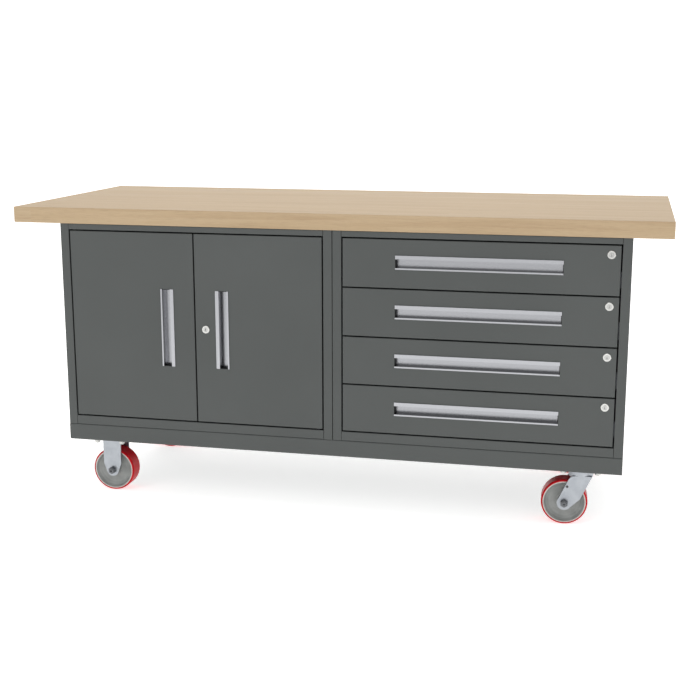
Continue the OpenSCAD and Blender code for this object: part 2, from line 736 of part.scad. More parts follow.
module swivel_fork(y) color(zinc) at_swivel(y) difference() {
    union() {
        block([-24, -leg_in - leg_t / 2, crown_z], [29, leg_in + leg_t / 2, crown_z + crown_t]);
        translate([0, 0, crown_z]) cylinder(r = race_r - 4, h = crown_t + dome_h);
        translate([-trail, 0, 0]) legs(swivel_leg(crown_z + crown_t - axle_z), 20);
    }
    translate([0, 0, crown_z - 1]) cylinder(r = kingpin_r + 0.08, h = crown_t + dome_h + 2);
    translate([-trail, 0, 0]) axle_hole();
    translate([leg_hole_x - trail, leg_in + leg_t + 1, axle_z + leg_hole_z]) rotate([90, 0, 0])
        cylinder(r = leg_hole_r, h = 2 * (leg_in + leg_t + 1));
}

module swivel_axle(y) color(zinc) at_swivel(y) translate([-trail, 0, 0]) axle();

// Half of the hub's outline: [radius, distance from the wheel's middle]
hub_half = [[hub_bore, 27.5], [19, 27.5], [19, 13], [24, 10.5], [34, 10], [43, 12], [50, 16.5],
            [53.5, 21.5], [54.6, 24.6], [hub_r, 24.6]];

function flip(points) = [for (i = [len(points) - 1 : -1 : 0]) [points[i][0], -points[i][1]]];

module hub() color(iron) rotate([90, 0, 0]) rotate_extrude() polygon(concat(hub_half, flip(hub_half)));

tyre_half = [[hub_r, wheel_w / 2 - 0.4], [wheel_d / 2 - 2.6, wheel_w / 2 - 0.4],
             [wheel_d / 2 - 0.8, wheel_w / 2 - 2], [wheel_d / 2, wheel_w / 2 - 5]];

module tyre() color(red) rotate([90, 0, 0]) rotate_extrude() polygon(concat(tyre_half, flip(tyre_half)));

module at_rigid_wheel(y) translate([rigid_x, y, axle_z]) children();
module at_swivel_wheel(y) at_swivel(y) translate([-trail, 0, axle_z]) children();

module caster_bolts() color(zinc)
    for (y = caster_ys, c = [[rigid_x, false], [swivel_x, true]], s = caster_spots(c[1]))
        translate([c[0] + s[0], y + s[1], base_z + cross_t]) rotate([180, 0, 0])
            hex_bolt(m10_r, m10_head, cross_t + plate_t, m10_nut_h);

worktop();
worktop_screws();
cabinet_sides();
cabinet_backs();
cabinet_floors();
cabinet_top_rails();
cabinet_bolts();
shelf();
shelf_clips();
drawer_uprights();
drawer_slide_outers();
door_pivot_pins();
base_frame();
caster_bolts();
rigid_caster_forks();
rigid_caster_axles();
swivel_caster_plates();
left_door();
left_door_pull();
left_door_bolt();
right_door();
right_door_pull();
right_door_lock_housing();
right_door_lock_plug();
for (n = [1 : drawer_count]) {
    drawer_front(n);
    drawer_box(n);
    drawer_pull(n);
    drawer_slide_middles(n);
    drawer_lock_housing(n);
    drawer_lock_plug(n);
}
swivel_fork(caster_ys[0]);  // front_swivel_fork
swivel_fork(caster_ys[1]);  // rear_swivel_fork
swivel_axle(caster_ys[0]);  // front_swivel_axle
swivel_axle(caster_ys[1]);  // rear_swivel_axle
at_rigid_wheel(caster_ys[0]) hub();  // rigid_front_hub
at_rigid_wheel(caster_ys[1]) hub();  // rigid_rear_hub
at_swivel_wheel(caster_ys[0]) hub();  // swivel_front_hub
at_swivel_wheel(caster_ys[1]) hub();  // swivel_rear_hub
at_rigid_wheel(caster_ys[0]) tyre();  // rigid_front_tyre
at_rigid_wheel(caster_ys[1]) tyre();  // rigid_rear_tyre
at_swivel_wheel(caster_ys[0]) tyre();  // swivel_front_tyre
at_swivel_wheel(caster_ys[1]) tyre();  // swivel_rear_tyre
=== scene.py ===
"""Looks of the mobile workbench: finishes for its parts, small trim pieces and a plain studio.

All sizes are in metres, in the bench's own frame: the origin is on the floor under the middle of
the worktop, +X is to the right, +Y to the back and +Z up.
"""

from __future__ import annotations

import json
import logging
import math
from dataclasses import dataclass, field
from enum import Enum

import bmesh
import bpy
from bpy.types import Material, Node, NodeSocket, NodeTree, Object
from mathutils import Euler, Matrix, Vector

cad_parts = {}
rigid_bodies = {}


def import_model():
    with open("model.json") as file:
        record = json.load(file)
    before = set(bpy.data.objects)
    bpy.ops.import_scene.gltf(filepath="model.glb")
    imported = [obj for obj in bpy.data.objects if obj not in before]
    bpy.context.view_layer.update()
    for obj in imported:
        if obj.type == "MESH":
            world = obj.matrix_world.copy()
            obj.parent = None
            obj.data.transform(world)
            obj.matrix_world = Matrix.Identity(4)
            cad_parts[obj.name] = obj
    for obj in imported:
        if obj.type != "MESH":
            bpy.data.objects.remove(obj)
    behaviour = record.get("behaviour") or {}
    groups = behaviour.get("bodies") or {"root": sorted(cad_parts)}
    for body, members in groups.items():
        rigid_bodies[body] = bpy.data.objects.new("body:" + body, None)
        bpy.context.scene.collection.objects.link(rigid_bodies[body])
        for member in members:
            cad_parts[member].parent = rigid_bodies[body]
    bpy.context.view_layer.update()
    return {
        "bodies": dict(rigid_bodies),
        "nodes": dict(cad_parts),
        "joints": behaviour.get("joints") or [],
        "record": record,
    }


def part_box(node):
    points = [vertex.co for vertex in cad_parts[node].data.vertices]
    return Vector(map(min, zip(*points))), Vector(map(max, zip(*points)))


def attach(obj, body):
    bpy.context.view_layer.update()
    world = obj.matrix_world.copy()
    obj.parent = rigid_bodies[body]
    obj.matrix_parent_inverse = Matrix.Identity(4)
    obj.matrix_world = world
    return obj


log = logging.getLogger("workbench")

MM = 0.001


class Grain(Enum):
    """The direction that a grain, brush line or rolling line runs in."""

    ALONG_X = 0
    ALONG_Z = 2

    def stretched(self, across: float, along: float) -> tuple[float, float, float]:
        """Gives texture frequencies per metre for lines this far apart and this long.

        Args:
            across: Distance between two lines, in metres.
            along: Length of a line, in metres.

        Returns:
            Scale for each axis.
        """
        scale = [1 / across] * 3
        scale[self.value] = 1 / along
        return tuple(scale)


def linear(colour: str) -> tuple[float, float, float, float]:
    """Turns an sRGB hex colour into linear RGBA.

    Args:
        colour: Six hex digits with a leading hash.

    Returns:
        Linear red, green, blue and an alpha of 1.
    """
    parts = [int(colour[i : i + 2], 16) / 255 for i in (1, 3, 5)]
    return (*[c / 12.92 if c <= 0.04045 else ((c + 0.055) / 1.055) ** 2.4 for c in parts], 1.0)


def grey(value: float) -> tuple[float, float, float, float]:
    """Gives a neutral linear colour of that brightness."""
    return (value, value, value, 1.0)


def connect(tree: NodeTree, node: Node, inputs: dict[str | int, object]) -> None:
    """Sets a node's inputs: a socket is linked, and anything else is set on the input itself.

    Args:
        tree: The node tree that the node is in.
        node: The node.
        inputs: Input name or number to its value, or to the socket that feeds it.
    """
    for name, value in inputs.items():
        if isinstance(value, NodeSocket):
            tree.links.new(value, node.inputs[name])
        else:
            node.inputs[name].default_value = value


def add(
    tree: NodeTree, kind: str, inputs: dict[str | int, object] | None = None, **settings: object
) -> Node:
    """Adds one node with its settings and links.

    Args:
        tree: The node tree that the node goes in.
        kind: The node's type, without its ShaderNode prefix.
        inputs: Input name or number to its value, or to the socket that feeds it.
        **settings: The node's own properties. stops gives a colour ramp's positions and colours.

    Returns:
        The new node.
    """
    node = tree.nodes.new("ShaderNode" + kind)
    stops = settings.pop("stops", None)
    for name, value in settings.items():
        setattr(node, name, value)
    if stops:
        ramp = node.color_ramp
        while len(ramp.elements) < len(stops):
            ramp.elements.new(0.5)
        for element, (position, colour) in zip(ramp.elements, stops):
            element.position = position
            element.color = colour
    connect(tree, node, inputs or {})
    return node


@dataclass(frozen=True)
class Finish:
    """A surface finish, built once and then shared by every part that has it."""

    name: str

    def material(self) -> Material:
        """Builds this finish's material on first use.

        Returns:
            The material.
        """
        found = bpy.data.materials.get(self.name)
        if found:
            return found
        made = bpy.data.materials.new(self.name)
        made.use_nodes = True
        tree = made.node_tree
        shader = next(n for n in tree.nodes if n.type == "BSDF_PRINCIPLED")
        self.dress(tree, shader, add(tree, "TexCoord").outputs["Object"])
        return made

    def dress(self, tree: NodeTree, shader: Node, place: NodeSocket) -> None:
        """Adds the finish's own nodes.

        Args:
            tree: The material's node tree.
            shader: Its principled shader.
            place: Position in the bench's frame, in metres.
        """
        raise NotImplementedError


@dataclass(frozen=True)
class PowderCoat(Finish):
    """Polyester powder coat baked on sheet steel: a dense satin skin with a faint orange peel."""

    colour: str = "#4f5251"
    pooled: str = "#4b4e4d"
    roughness: float = 0.50
    specular: float = 0.38
    drift: float = 384.6 * MM
    grain: float = 1.1 * MM
    peel: float = 2.2 * MM
    peel_depth: float = 0.06 * MM
    # Reach of the painted shade in joints and folds.
    gap: float = 9 * MM

    def dress(self, tree: NodeTree, shader: Node, place: NodeSocket) -> None:
        """Adds slow film-thickness drift, fine speckle, painted shade in the joints and the peel.

        Args:
            tree: The material's node tree.
            shader: Its principled shader.
            place: Position in the bench's frame, in metres.
        """
        # The film changes over a forearm's length. Powder grain is near 0.05 mm, and is drawn at
        # 1.1 mm because it would not show: the eye reads it as a dry, even, slightly flecked grey.
        drift = add(
            tree,
            "TexNoise",
            {"Vector": place, "Scale": 1 / self.drift, "Detail": 3.0, "Roughness": 0.5},
        )
        speckle = add(tree, "TexNoise", {"Vector": place, "Scale": 1 / self.grain, "Detail": 1.0})
        film = add(
            tree,
            "ValToRGB",
            {"Fac": drift.outputs["Fac"]},
            stops=[(0.34, linear(self.pooled)), (0.66, linear(self.colour))],
        )
        fine = add(
            tree,
            "ValToRGB",
            {"Fac": speckle.outputs["Fac"]},
            stops=[(0.3, grey(0.9)), (0.7, grey(1.0))],
        )
        flecked = add(
            tree,
            "MixRGB",
            {"Fac": 0.6, "Color1": film.outputs["Color"], "Color2": fine.outputs["Color"]},
            blend_type="MULTIPLY",
        )
        # Painted shade: ambient occlusion draws joints and folds of a few millimetres as narrow
        # dark lines.
        ambient_shade = add(tree, "AmbientOcclusion", {"Distance": self.gap}, samples=8)
        painted_joint_shade = add(
            tree,
            "ValToRGB",
            {"Fac": ambient_shade.outputs["AO"]},
            stops=[(0.10, grey(0.12)), (0.55, grey(1.0))],
        )
        colour = add(
            tree,
            "MixRGB",
            {"Fac": 1.0, "Color1": flecked.outputs["Color"], "Color2": painted_joint_shade.outputs["Color"]},
            blend_type="MULTIPLY",
        )
        gloss = add(
            tree,
            "MapRange",
            {
                "Value": drift.outputs["Fac"],
                "To Min": self.roughness - 0.05,
                "To Max": self.roughness + 0.07,
            },
        )
        # Orange peel has humps 2 mm apart and some hundredths deep: it softens every highlight.
        peel = add(
            tree,
            "TexNoise",
            {"Vector": place, "Scale": 1 / self.peel, "Detail": 1.5, "Roughness": 0.4},
        )
        relief = add(
            tree,
            "Bump",
            {"Strength": 1.0, "Distance": self.peel_depth, "Height": peel.outputs["Fac"]},
        )
        connect(
            tree,
            shader,
            {
                "Base Color": colour.outputs["Color"],
                "Roughness": gloss.outputs["Result"],
                "Specular IOR Level": self.specular,
                "Normal": relief.outputs["Normal"],
            },
        )


@dataclass(frozen=True)
class OiledMaple(Finish):
    """Hard maple staves glued edge to edge, sanded and oiled: pale, close and lightly figured."""

    light: str = "#baa588"
    dark: str = "#b0997c"
    highlight: str = "#bfab8f"
    warm: str = "#f7f1e9"
    specular: float = 0.14
    stave: float = 40 * MM
    stave_length: float = 3400 * MM
    grain_width: float = 16 * MM
    grain_length: float = 480 * MM
    pore_width: float = 0.9 * MM
    pore_length: float = 22 * MM
    pore_depth: float = 0.05 * MM
    offset: tuple[float, float, float] = (3.7, 9.1, 5.3)

    def dress(self, tree: NodeTree, shader: Node, place: NodeSocket) -> None:
        """Adds staves of slightly different tone, long grain, fine pores and a soft oil sheen.

        Args:
            tree: The material's node tree.
            shader: Its principled shader.
            place: Position in the bench's frame, in metres.
        """
        # Staves are 40 mm wide and staggered from row to row. Each gets a number of its own,
        # which picks its tone, so the top reads as many boards of one wood.
        axes = add(tree, "SeparateXYZ", {"Vector": place})
        row = add(tree, "Math", {0: axes.outputs["Y"], 1: self.stave}, operation="DIVIDE")
        row_number = add(tree, "Math", {0: row.outputs[0]}, operation="FLOOR")
        stagger = add(tree, "TexWhiteNoise", {"W": row_number.outputs[0]}, noise_dimensions="1D")
        along = add(tree, "Math", {0: axes.outputs["X"], 1: self.stave_length}, operation="DIVIDE")
        shifted = add(
            tree, "Math", {0: along.outputs[0], 1: stagger.outputs["Value"]}, operation="ADD"
        )
        piece = add(tree, "Math", {0: shifted.outputs[0]}, operation="FLOOR")
        stave_id = add(tree, "CombineXYZ", {"X": piece.outputs[0], "Y": row_number.outputs[0]})
        tone = add(
            tree, "TexWhiteNoise", {"Vector": stave_id.outputs["Vector"]}, noise_dimensions="3D"
        )

        # The number also moves the grain, so that no line runs on from one stave to the next.
        # Growth lines are 16 mm apart and half a metre long. Pores are 0.3 mm wide and are drawn
        # at 0.9 mm, as coarse as they need to show: short dashes that give the oiled wood its nap.
        shift = add(
            tree,
            "VectorMath",
            {0: stave_id.outputs["Vector"], 1: self.offset},
            operation="MULTIPLY",
        )
        local = add(tree, "VectorMath", {0: place, 1: shift.outputs["Vector"]}, operation="ADD")
        grain_place = add(
            tree,
            "VectorMath",
            {
                0: local.outputs["Vector"],
                1: Grain.ALONG_X.stretched(self.grain_width, self.grain_length),
            },
            operation="MULTIPLY",
        )
        grain = add(
            tree,
            "TexNoise",
            {
                "Vector": grain_place.outputs["Vector"],
                "Scale": 1.0,
                "Detail": 4.0,
                "Roughness": 0.55,
                "Distortion": 0.6,
            },
        )
        pore_place = add(
            tree,
            "VectorMath",
            {
                0: local.outputs["Vector"],
                1: Grain.ALONG_X.stretched(self.pore_width, self.pore_length),
            },
            operation="MULTIPLY",
        )
        pores = add(
            tree,
            "TexNoise",
            {"Vector": pore_place.outputs["Vector"], "Scale": 1.0, "Detail": 2.0},
        )

        wood = add(
            tree,
            "ValToRGB",
            {"Fac": grain.outputs["Fac"]},
            stops=[
                (0.30, linear(self.dark)),
                (0.52, linear(self.light)),
                (0.78, linear(self.highlight)),
            ],
        )
        tint = add(
            tree,
            "ValToRGB",
            {"Fac": tone.outputs["Value"]},
            stops=[(0.0, linear(self.warm)), (1.0, grey(1.0))],
        )
        toned = add(
            tree,
            "MixRGB",
            {"Fac": 0.6, "Color1": wood.outputs["Color"], "Color2": tint.outputs["Color"]},
            blend_type="MULTIPLY",
        )
        flecks = add(
            tree,
            "ValToRGB",
            {"Fac": pores.outputs["Fac"]},
            stops=[(0.32, grey(0.80)), (0.5, grey(1.0))],
        )
        colour = add(
            tree,
            "MixRGB",
            {"Fac": 0.5, "Color1": toned.outputs["Color"], "Color2": flecks.outputs["Color"]},
            blend_type="MULTIPLY",
        )
        gloss = add(
            tree, "MapRange", {"Value": grain.outputs["Fac"], "To Min": 0.46, "To Max": 0.60}
        )
        relief = add(
            tree,
            "Bump",
            {"Strength": 1.0, "Distance": self.pore_depth, "Height": pores.outputs["Fac"]},
        )
        connect(
            tree,
            shader,
            {
                "Base Color": colour.outputs["Color"],
                "Roughness": gloss.outputs["Result"],
                "Specular IOR Level": self.specular,
                "Normal": relief.outputs["Normal"],
            },
        )


@dataclass(frozen=True)
class SatinAluminium(Finish):
    """Extruded aluminium with a satin anodised skin: faint die lines along the extrusion."""

    grain: Grain = Grain.ALONG_X
    colour: str = "#afb0b4"
    shade: str = "#a2a3a7"
    roughness: float = 0.24
    line_gap: float = 0.8 * MM
    line_length: float = 260 * MM
    line_depth: float = 0.02 * MM
    # Painted shade in the pocket: brightness of a side wall and of the back, where the wall's
    # shade fades, and the pocket's front and depth.
    wall: float = 0.46
    back: float = 0.88
    reach: float = 2.0
    softness: float = 0.15
    face: float = -375 * MM
    pocket: float = 20 * MM

    def dress(self, tree: NodeTree, shader: Node, place: NodeSocket) -> None:
        """Adds die lines, slow gloss drift, and painted shade inside the pocket.

        Args:
            tree: The material's node tree.
            shader: Its principled shader.
            place: Position in the bench's frame, in metres.
        """
        # Die lines are a few hundredths of a millimetre apart and are drawn 0.8 mm apart: they
        # stretch a reflection along the pull and leave a silky streak.
        lines_place = add(
            tree,
            "VectorMath",
            {0: place, 1: self.grain.stretched(self.line_gap, self.line_length)},
            operation="MULTIPLY",
        )
        lines = add(
            tree,
            "TexNoise",
            {"Vector": lines_place.outputs["Vector"], "Scale": 1.0, "Detail": 3.0},
        )
        tone = add(
            tree,
            "ValToRGB",
            {"Fac": lines.outputs["Fac"]},
            stops=[(0.25, linear(self.shade)), (0.75, linear(self.colour))],
        )

        # Painted shade: a side wall of the pocket is drawn darker than a face that looks forward,
        # for the shade that falls in the pocket. In an upright pull this painted shade ends at
        # half depth, as on a wall that curves into the back. The back is drawn a little darker
        # than the flange.
        facing = add(tree, "SeparateXYZ", {"Vector": add(tree, "TexCoord").outputs["Normal"]})
        frontal = add(tree, "Math", {0: facing.outputs["Y"]}, operation="ABSOLUTE")
        painted_wall_shade = add(
            tree,
            "ValToRGB",
            {"Fac": frontal.outputs[0]},
            stops=[(0.3, grey(self.wall)), (0.8, grey(1.0))],
        )
        depth = add(
            tree,
            "MapRange",
            {
                "Value": add(tree, "SeparateXYZ", {"Vector": place}).outputs["Y"],
                "From Min": self.face,
                "From Max": self.face + self.pocket,
            },
        )
        fade = add(
            tree,
            "MapRange",
            {
                "Value": depth.outputs["Result"],
                "From Min": self.reach - self.softness,
                "From Max": self.reach + self.softness,
            },
        )
        faded_wall_shade = add(
            tree,
            "MixRGB",
            {"Fac": fade.outputs["Result"], "Color1": painted_wall_shade.outputs["Color"], "Color2": grey(1.0)},
        )
        # Painted shade: the back darkens with depth in the pocket.
        deep = add(
            tree,
            "ValToRGB",
            {"Fac": depth.outputs["Result"]},
            stops=[(0.2, grey(1.0)), (0.9, grey(self.back))],
        )
        shaded = add(
            tree,
            "MixRGB",
            {"Fac": 1.0, "Color1": faded_wall_shade.outputs["Color"], "Color2": deep.outputs["Color"]},
            blend_type="MULTIPLY",
        )
        colour = add(
            tree,
            "MixRGB",
            {"Fac": 1.0, "Color1": tone.outputs["Color"], "Color2": shaded.outputs["Color"]},
            blend_type="MULTIPLY",
        )
        gloss = add(
            tree,
            "MapRange",
            {
                "Value": lines.outputs["Fac"],
                "To Min": self.roughness - 0.05,
                "To Max": self.roughness + 0.08,
            },
        )
        relief = add(
            tree,
            "Bump",
            {"Strength": 1.0, "Distance": self.line_depth, "Height": lines.outputs["Fac"]},
        )
        connect(
            tree,
            shader,
            {
                "Base Color": colour.outputs["Color"],
                "Metallic": 1.0,
                "Roughness": gloss.outputs["Result"],
                "Normal": relief.outputs["Normal"],
            },
        )


@dataclass(frozen=True)
class NickelPlate(Finish):
    """Nickel plated zinc die casting: bright, nearly white and slightly cloudy."""

    colour: str = "#cfcfcc"
    shade: str = "#c2c2bf"
    cloud: float = 6 * MM

    def dress(self, tree: NodeTree, shader: Node, place: NodeSocket) -> None:
        """Adds slight cloudiness to a bright metal.

        Args:
            tree: The material's node tree.
            shader: Its principled shader.
            place: Position in the bench's frame, in metres.
        """
        # Wiping leaves clouds of a fingertip's width, which keep a lock from being a mirror.
        cloud = add(tree, "TexNoise", {"Vector": place, "Scale": 1 / self.cloud, "Detail": 2.0})
        tone = add(
            tree,
            "ValToRGB",
            {"Fac": cloud.outputs["Fac"]},
            stops=[(0.3, linear(self.shade)), (0.7, linear(self.colour))],
        )
        gloss = add(
            tree, "MapRange", {"Value": cloud.outputs["Fac"], "To Min": 0.20, "To Max": 0.32}
        )
        connect(
            tree,
            shader,
            {
                "Base Color": tone.outputs["Color"],
                "Metallic": 1.0,
                "Roughness": gloss.outputs["Result"],
            },
        )


@dataclass(frozen=True)
class ZincPlate(Finish):
    """Bright zinc electroplate on pressed steel: silvery, faintly blue and softly clouded."""

    colour: str = "#adb1b6"
    shade: str = "#9da1a7"
    roughness: float = 0.38
    # Reach of the painted shade in nooks; 0 draws none.
    gap: float = 0.0
    cloud: float = 28 * MM
    pit: float = 0.9 * MM
    pit_depth: float = 0.02 * MM

    def dress(self, tree: NodeTree, shader: Node, place: NodeSocket) -> None:
        """Adds plating clouds, fine pits and, where it has a gap, painted shade in the nooks.

        Args:
            tree: The material's node tree.
            shader: Its principled shader.
            place: Position in the bench's frame, in metres.
        """
        # Plating clouds are as wide as a caster's leg. Pits are near 0.2 mm and are drawn at
        # 0.9 mm: together they turn the metal's mirror into a soft, slightly uneven shine.
        clouds = add(
            tree,
            "TexNoise",
            {"Vector": place, "Scale": 1 / self.cloud, "Detail": 4.0, "Roughness": 0.6},
        )
        pits = add(tree, "TexNoise", {"Vector": place, "Scale": 1 / self.pit, "Detail": 1.0})
        tone = add(
            tree,
            "ValToRGB",
            {"Fac": clouds.outputs["Fac"]},
            stops=[(0.3, linear(self.shade)), (0.65, linear(self.colour))],
        )
        # Painted shade: ambient occlusion darkens the nooks within the gap.
        if self.gap:
            ambient_shade = add(tree, "AmbientOcclusion", {"Distance": self.gap}, samples=8)
            dark = add(
                tree,
                "ValToRGB",
                {"Fac": ambient_shade.outputs["AO"]},
                stops=[(0.10, grey(0.08)), (0.60, grey(1.0))],
            )
            tone = add(
                tree,
                "MixRGB",
                {"Fac": 1.0, "Color1": tone.outputs["Color"], "Color2": dark.outputs["Color"]},
                blend_type="MULTIPLY",
            )
        gloss = add(
            tree,
            "MapRange",
            {
                "Value": clouds.outputs["Fac"],
                "To Min": self.roughness - 0.08,
                "To Max": self.roughness + 0.12,
            },
        )
        relief = add(
            tree,
            "Bump",
            {"Strength": 1.0, "Distance": self.pit_depth, "Height": pits.outputs["Fac"]},
        )
        connect(
            tree,
            shader,
            {
                "Base Color": tone.outputs["Color"],
                "Metallic": 1.0,
                "Roughness": gloss.outputs["Result"],
                "Normal": relief.outputs["Normal"],
            },
        )


@dataclass(frozen=True)
class TurnedIron(Finish):
    """Bare cast iron faced on a lathe: bright and silvery, with fine tool marks."""

    colour: str = "#cfc6c0"
    shade: str = "#bfb5af"
    roughness: float = 0.34
    haze: float = 9 * MM
    mark: float = 0.8 * MM
    mark_depth: float = 0.03 * MM

    def dress(self, tree: NodeTree, shader: Node, place: NodeSocket) -> None:
        """Adds the tool marks and a faint oxide haze.

        Args:
            tree: The material's node tree.
            shader: Its principled shader.
            place: Position in the bench's frame, in metres.
        """
        # A lathe feeds near 0.2 mm a turn, drawn at 0.8 mm; the haze warms the bare iron a
        # little, so the ring glints but stays softer than plating.
        haze = add(tree, "TexNoise", {"Vector": place, "Scale": 1 / self.haze, "Detail": 3.0})
        marks = add(tree, "TexNoise", {"Vector": place, "Scale": 1 / self.mark, "Detail": 1.0})
        tone = add(
            tree,
            "ValToRGB",
            {"Fac": haze.outputs["Fac"]},
            stops=[(0.3, linear(self.shade)), (0.7, linear(self.colour))],
        )
        gloss = add(
            tree,
            "MapRange",
            {
                "Value": haze.outputs["Fac"],
                "To Min": self.roughness - 0.06,
                "To Max": self.roughness + 0.10,
            },
        )
        relief = add(
            tree,
            "Bump",
            {"Strength": 1.0, "Distance": self.mark_depth, "Height": marks.outputs["Fac"]},
        )
        connect(
            tree,
            shader,
            {
                "Base Color": tone.outputs["Color"],
                "Metallic": 1.0,
                "Roughness": gloss.outputs["Result"],
                "Normal": relief.outputs["Normal"],
            },
        )


@dataclass(frozen=True)
class EnamelledIron(Finish):
    """Sand-cast iron under a thin grey enamel: dull, with the sand's grain showing through."""

    colour: str = "#9a9c9a"
    shade: str = "#848684"
    sand: float = 1.6 * MM
    sand_depth: float = 0.18 * MM
    drift: float = 35 * MM

    def dress(self, tree: NodeTree, shader: Node, place: NodeSocket) -> None:
        """Adds the sand texture and uneven enamel.

        Args:
            tree: The material's node tree.
            shader: Its principled shader.
            place: Position in the bench's frame, in metres.
        """
        # Moulding sand leaves grains of half a millimetre, drawn at 1.6 mm, and the enamel runs
        # thicker over some centimetres: a rough, mottled grey without a clear highlight.
        sand = add(
            tree,
            "TexNoise",
            {"Vector": place, "Scale": 1 / self.sand, "Detail": 3.0, "Roughness": 0.7},
        )
        drift = add(tree, "TexNoise", {"Vector": place, "Scale": 1 / self.drift, "Detail": 2.0})
        tone = add(
            tree,
            "ValToRGB",
            {"Fac": drift.outputs["Fac"]},
            stops=[(0.3, linear(self.shade)), (0.7, linear(self.colour))],
        )
        gloss = add(
            tree, "MapRange", {"Value": sand.outputs["Fac"], "To Min": 0.38, "To Max": 0.62}
        )
        relief = add(
            tree,
            "Bump",
            {"Strength": 1.0, "Distance": self.sand_depth, "Height": sand.outputs["Fac"]},
        )
        connect(
            tree,
            shader,
            {
                "Base Color": tone.outputs["Color"],
                "Roughness": gloss.outputs["Result"],
                "Normal": relief.outputs["Normal"],
            },
        )


@dataclass(frozen=True)
class CastPolyurethane(Finish):
    """Red polyurethane cast on the hub and trued on a lathe: slightly waxy, with a soft glow."""

    colour: str = "#c5141f"
    deep: str = "#ab0f19"
    specular: float = 0.1
    glow: float = 0.12
    glow_depth: tuple[float, float, float] = (6 * MM, 1 * MM, 1 * MM)
    mottle: float = 18 * MM
    mark: float = 1.2 * MM
    mark_depth: float = 0.03 * MM

    def dress(self, tree: NodeTree, shader: Node, place: NodeSocket) -> None:
        """Adds the turning marks, slight mottling and a little light under the surface.

        Args:
            tree: The material's node tree.
            shader: Its principled shader.
            place: Position in the bench's frame, in metres.
        """
        # Red light goes some 6 mm into the cast rubber, which lifts its shaded side and makes it
        # waxy. Turning marks are near 0.3 mm apart and are drawn at 1.2 mm.
        mottle = add(tree, "TexNoise", {"Vector": place, "Scale": 1 / self.mottle, "Detail": 3.0})
        marks = add(tree, "TexNoise", {"Vector": place, "Scale": 1 / self.mark, "Detail": 2.0})
        tone = add(
            tree,
            "ValToRGB",
            {"Fac": mottle.outputs["Fac"]},
            stops=[(0.3, linear(self.deep)), (0.7, linear(self.colour))],
        )
        gloss = add(
            tree, "MapRange", {"Value": mottle.outputs["Fac"], "To Min": 0.30, "To Max": 0.42}
        )
        relief = add(
            tree,
            "Bump",
            {"Strength": 1.0, "Distance": self.mark_depth, "Height": marks.outputs["Fac"]},
        )
        connect(
            tree,
            shader,
            {
                "Base Color": tone.outputs["Color"],
                "Roughness": gloss.outputs["Result"],
                "Specular IOR Level": self.specular,
                "Subsurface Weight": self.glow,
                "Subsurface Radius": self.glow_depth,
                "Normal": relief.outputs["Normal"],
            },
        )


@dataclass(frozen=True)
class MouldedNylon(Finish):
    """Black glass-filled nylon, moulded with a fine spark texture."""

    colour: str = "#0e0f10"
    shade: str = "#09090a"
    specular: float = 0.2
    spark: float = 0.7 * MM
    spark_depth: float = 0.04 * MM

    def dress(self, tree: NodeTree, shader: Node, place: NodeSocket) -> None:
        """Adds the mould's spark texture.

        Args:
            tree: The material's node tree.
            shader: Its principled shader.
            place: Position in the bench's frame, in metres.
        """
        # A spark-eroded mould leaves craters near 0.1 mm, drawn at 0.7 mm: a matt, deep black.
        spark = add(tree, "TexNoise", {"Vector": place, "Scale": 1 / self.spark, "Detail": 2.0})
        tone = add(
            tree,
            "ValToRGB",
            {"Fac": spark.outputs["Fac"]},
            stops=[(0.3, linear(self.shade)), (0.7, linear(self.colour))],
        )
        gloss = add(
            tree, "MapRange", {"Value": spark.outputs["Fac"], "To Min": 0.48, "To Max": 0.62}
        )
        relief = add(
            tree,
            "Bump",
            {"Strength": 1.0, "Distance": self.spark_depth, "Height": spark.outputs["Fac"]},
        )
        connect(
            tree,
            shader,
            {
                "Base Color": tone.outputs["Color"],
                "Roughness": gloss.outputs["Result"],
                "Specular IOR Level": self.specular,
                "Normal": relief.outputs["Normal"],
            },
        )


@dataclass(frozen=True)
class StudioPaper(Finish):
    """Matt white background paper."""

    colour: str = "#fbfbfa"
    shade: str = "#f8f8f7"
    glow: float = 0.62
    roughness: float = 0.9
    blotch: float = 833.3 * MM

    def dress(self, tree: NodeTree, shader: Node, place: NodeSocket) -> None:
        """Adds a barely visible paper tone.

        Args:
            tree: The material's node tree.
            shader: Its principled shader.
            place: Position in the bench's frame, in metres.
        """
        # The paper is lit until it is nearly white, and keeps only the bench's soft shadow.
        blotch = add(tree, "TexNoise", {"Vector": place, "Scale": 1 / self.blotch, "Detail": 2.0})
        tone = add(
            tree,
            "ValToRGB",
            {"Fac": blotch.outputs["Fac"]},
            stops=[(0.3, linear(self.shade)), (0.7, linear(self.colour))],
        )
        connect(
            tree,
            shader,
            {
                "Base Color": tone.outputs["Color"],
                "Roughness": self.roughness,
                "Emission Color": grey(1.0),
                "Emission Strength": self.glow,
            },
        )


# The paint carries painted shade in joints and folds.
PAINT = PowderCoat("powder_coat_dark_grey")
MAPLE = OiledMaple("oiled_maple")
# Both pulls carry painted shade in their pockets; the upright one's wall shade ends at half depth.
PULL_ACROSS = SatinAluminium("satin_aluminium_across", Grain.ALONG_X)
PULL_UPRIGHT = SatinAluminium("satin_aluminium_upright", Grain.ALONG_Z, reach=0.55)
LOCK_METAL = NickelPlate("nickel_plate")
PLUG_METAL = NickelPlate("nickel_plate_worn", "#bdbdbb", "#ababa9")
ZINC = ZincPlate("zinc_plate_caster")
HARDWARE = ZincPlate("zinc_plate_hardware", "#c9c9c6", "#b2b2af", 0.34)
